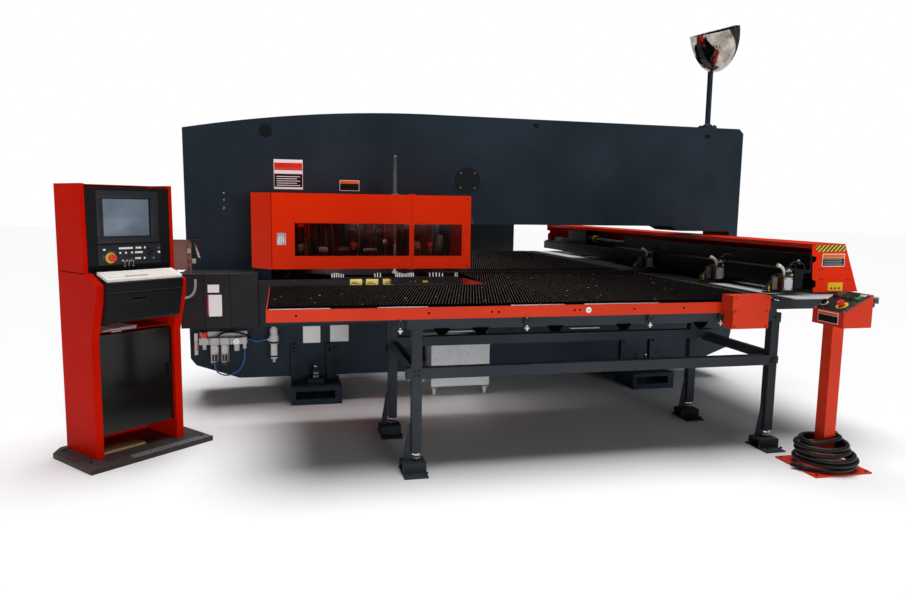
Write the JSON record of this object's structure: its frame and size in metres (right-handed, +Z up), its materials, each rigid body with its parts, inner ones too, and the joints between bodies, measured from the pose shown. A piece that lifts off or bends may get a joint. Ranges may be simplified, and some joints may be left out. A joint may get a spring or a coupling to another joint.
{
  "type": "cnc turret punch press",
  "caption": "Turret punch press with closed bridge frame, rotating turret, brush tables, clamp carriage, console and pedestal.",
  "frame": {"origin": "centre of the footprint, on the floor, measured without the pedestal's cable", "axes": "+X runs along the bridge frame from the console side to the carriage side, +Y from the operator's side to the back, +Z up"},
  "size_m": [5.1396, 6.1268, 2.9872],
  "materials": {
    "frame_paint": "textured dark blue-grey enamel",
    "red_paint": "semi-gloss red enamel",
    "dark_paint": "dark grey enamel",
    "brush": "black nylon bristle",
    "smoked": "smoked polycarbonate",
    "turret_steel": "oiled machined steel",
    "chrome": "polished",
    "pale_steel": "pale cream-grey enamel",
    "bright_steel": "ground steel plate",
    "alu": "satin",
    "mirror": "silvered acrylic",
    "black_plastic": "matt black",
    "white_plastic": "satin white",
    "red_plastic": "gloss red",
    "green_plastic": "gloss green",
    "cable_pvc": "black sheath",
    "blue_hose": "blue air hose",
    "galvanised": "galvanised sheet",
    "cabinet_paint": "textured dark grey enamel",
    "black_steel": "black oxide"
  },
  "bodies": {
    "frame": {"machine_frame": "frame_paint", "frame_feet": "frame_paint", "frame_covers": "frame_paint", "turret_cover": "red_paint", "side_window": "smoked", "rear_turret_cover": "red_paint", "ram_housing": "frame_paint", "work_holder_cylinder": "chrome", "lower_front_cover": "dark_paint", "front_table_frame": "dark_paint", "front_fascia": "red_paint", "front_brushes": "brush", "corner_box": "red_paint", "table_feet": "dark_paint", "rear_table_frame": "dark_paint", "rear_brushes": "brush", "centre_table": "brush", "side_plates": "bright_steel", "mirror_pole": "frame_paint", "air_unit": "alu", "air_hoses": "blue_hose", "console_body": "red_paint", "console_base": "dark_paint", "console_head": "black_plastic", "keyboard": "white_plastic", "pedestal_stand": "red_paint", "pedestal_box": "red_paint", "cable_coil": "cable_pvc", "cable_connector": "black_plastic", "scrap_bin": "galvanised", "electrical_cabinet": "cabinet_paint", "side_panel": "smoked"},
    "upper_turret": {"upper_turret": "turret_steel", "punch_set": "turret_steel"},
    "active_punch": {"active_punch": "turret_steel"},
    "lower_turret": {"lower_turret": "turret_steel", "die_set": "turret_steel"},
    "ram": {"striker_ram": "bright_steel"},
    "turret_door": {"turret_door": "red_paint", "door_window": "smoked"},
    "door_latch": {"door_latch": "chrome"},
    "work_holder": {"work_holder_rod": "bright_steel"},
    "carriage": {"carriage_beam": "dark_paint", "carriage_cover": "red_paint"},
    "x_screw": {"x_screw": "bright_steel"},
    "clamp_bar": {"clamp_bar": "black_steel", "clamp_body_1": "black_steel", "clamp_body_2": "black_steel", "clamp_body_3": "black_steel", "clamp_hoses": "black_plastic"},
    "jaw_1": {"clamp_jaw_1": "bright_steel"},
    "jaw_2": {"clamp_jaw_2": "bright_steel"},
    "jaw_3": {"clamp_jaw_3": "bright_steel"},
    "mirror": {"convex_mirror": "mirror"},
    "air_valve_knob": {"air_valve_knob": "red_plastic"},
    "console_door": {"console_door": "black_plastic"},
    "console_estop": {"console_estop": "red_plastic"},
    "pedestal_estop": {"pedestal_estop": "red_plastic"},
    "start_button": {"pedestal_start_button": "green_plastic"},
    "selector": {"pedestal_selector": "black_plastic"}
  },
  "joints": [
    {"name": "y_travel", "type": "slide", "parent": "frame", "child": "carriage", "axis": [-1, 0, 0], "range_m": [0, 1.85]},
    {"name": "x_travel", "type": "slide", "parent": "carriage", "child": "clamp_bar", "axis": [0, 1, 0], "range_m": [0, 2.2]},
    {"name": "x_screw_spin", "type": "hinge", "parent": "carriage", "child": "x_screw", "pos_m": [2.11978, -0.7935, 1.135], "axis": [0, 1, 0], "range_deg": [-10, 19820]},
    {"name": "upper_turret_spin", "type": "hinge", "parent": "frame", "child": "upper_turret", "pos_m": [-0.74022, -0.5935, 1.075], "axis": [0, 0, 1], "continuous": true},
    {"name": "lower_turret_spin", "type": "hinge", "parent": "frame", "child": "lower_turret", "pos_m": [-0.74022, -0.5935, 0.908], "axis": [0, 0, 1], "continuous": true},
    {"name": "ram_stroke", "type": "slide", "parent": "frame", "child": "ram", "axis": [0, 0, -1], "range_m": [0, 0.04]},
    {"name": "punch_stroke", "type": "slide", "parent": "upper_turret", "child": "active_punch", "axis": [0, 0, -1], "range_m": [0, 0.04]},
    {"name": "turret_door_hinge", "type": "hinge", "parent": "frame", "child": "turret_door", "pos_m": [-0.41722, -1.437, 1.037], "axis": [0, 0, 1], "range_deg": [0, 110]},
    {"name": "door_latch_hinge", "type": "hinge", "parent": "turret_door", "child": "door_latch", "pos_m": [-1.30722, -1.4455, 1.199], "axis": [0, 0, -1], "range_deg": [0, 40]},
    {"name": "work_holder_stroke", "type": "slide", "parent": "frame", "child": "work_holder", "axis": [0, 0, -1], "range_m": [0, 0.042]},
    {"name": "clamp_jaw_1_hinge", "type": "hinge", "parent": "clamp_bar", "child": "jaw_1", "pos_m": [1.85178, -0.4575, 1.004], "axis": [0, -1, 0], "range_deg": [0, 5]},
    {"name": "clamp_jaw_2_hinge", "type": "hinge", "parent": "clamp_bar", "child": "jaw_2", "pos_m": [1.85178, -1.5165, 1.004], "axis": [0, -1, 0], "range_deg": [0, 5]},
    {"name": "clamp_jaw_3_hinge", "type": "hinge", "parent": "clamp_bar", "child": "jaw_3", "pos_m": [1.85178, -2.2635, 1.004], "axis": [0, -1, 0], "range_deg": [0, 5]},
    {"name": "mirror_tilt", "type": "hinge", "parent": "frame", "child": "mirror", "pos_m": [2.25278, -0.7435, 2.7], "axis": [1, 0, 0], "range_deg": [-12, 12]},
    {"name": "air_valve_turn", "type": "hinge", "parent": "frame", "child": "air_valve_knob", "pos_m": [-1.83522, -0.9135, 0.51], "axis": [0, 0, 1], "range_deg": [0, 90]},
    {"name": "console_door_hinge", "type": "hinge", "parent": "frame", "child": "console_door", "pos_m": [-2.2803, -2.03058, 0.15], "axis": [0, 0, 1], "range_deg": [-88, 0]},
    {"name": "console_estop_press", "type": "slide", "parent": "frame", "child": "console_estop", "axis": [-0.6494, 0.7604, 0], "range_m": [0, 0.006]},
    {"name": "pedestal_estop_press", "type": "slide", "parent": "frame", "child": "pedestal_estop", "axis": [0.4828, 0, -0.8757], "range_m": [0, 0.006]},
    {"name": "start_button_press", "type": "slide", "parent": "frame", "child": "start_button", "axis": [0.4828, 0, -0.8757], "range_m": [0, 0.006], "stiffness_N_per_m": 600},
    {"name": "selector_turn", "type": "hinge", "parent": "frame", "child": "selector", "pos_m": [1.78118, -2.7895, 0.94719], "axis": [-0.4828, 0, 0.8757], "range_deg": [-45, 45]}
  ],
  "couplings": [
    {"joint": "x_screw_spin", "follows": "x_travel", "rad_per_m": 157.08},
    {"joint": "lower_turret_spin", "follows": "upper_turret_spin", "ratio": 1},
    {"joint": "punch_stroke", "follows": "ram_stroke", "ratio": 1},
    {"joint": "clamp_jaw_2_hinge", "follows": "clamp_jaw_1_hinge", "ratio": 1},
    {"joint": "clamp_jaw_3_hinge", "follows": "clamp_jaw_1_hinge", "ratio": 1}
  ]
}
